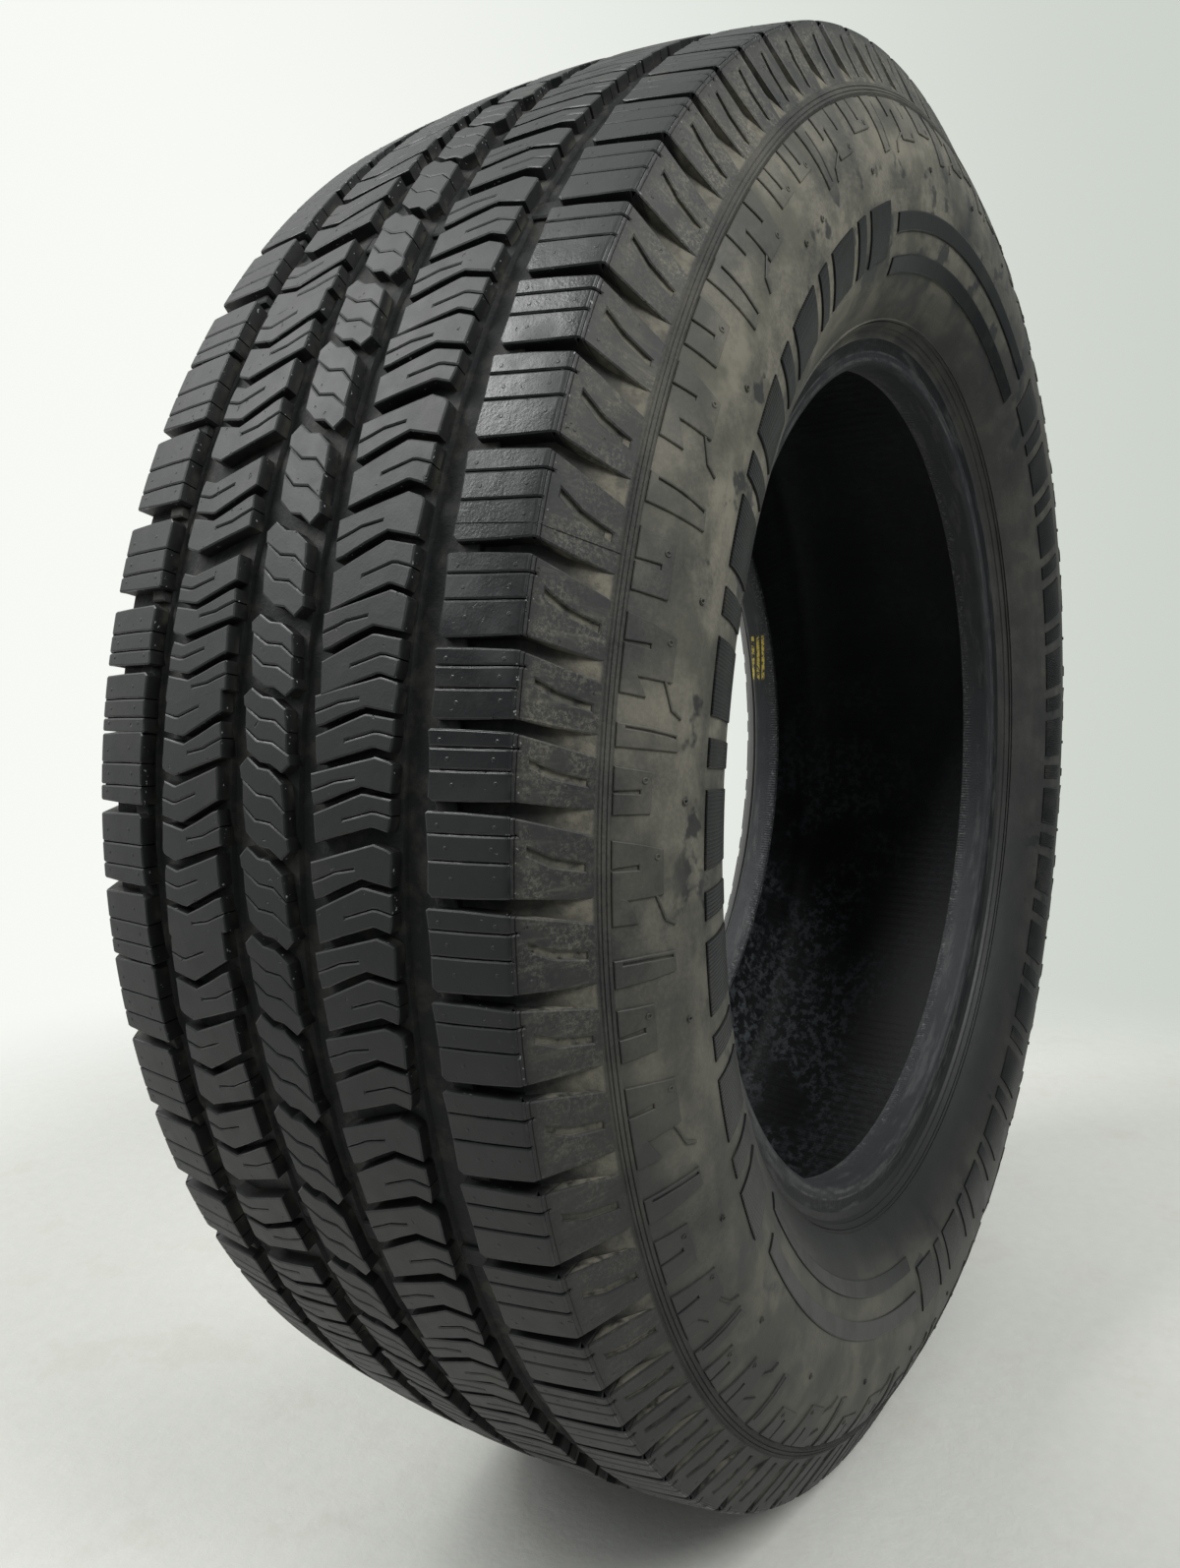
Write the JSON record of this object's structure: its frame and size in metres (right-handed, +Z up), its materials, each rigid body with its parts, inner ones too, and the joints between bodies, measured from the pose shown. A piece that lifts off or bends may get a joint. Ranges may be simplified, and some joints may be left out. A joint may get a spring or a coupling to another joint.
{
  "type": "old worn tyre",
  "caption": "Worn road tyre without a wheel: ribbed block tread with straight grooves, bulging sidewalls, open liner cavity and two beads that seat on a rim.",
  "frame": {"origin": "centre of the tyre on its turning axis, midway between the two beads", "axes": "+Y along the turning axis, away from the sidewall that faces the viewer; +Z up; the tyre stands on the small flat of its tread at -Z"},
  "size_m": [0.747, 0.2468, 0.745],
  "materials": {
    "tyre": "worn charcoal rubber with khaki dust and scuffs"
  },
  "bodies": {
    "root": {"tyre": "tyre"}
  },
  "joints": []
}
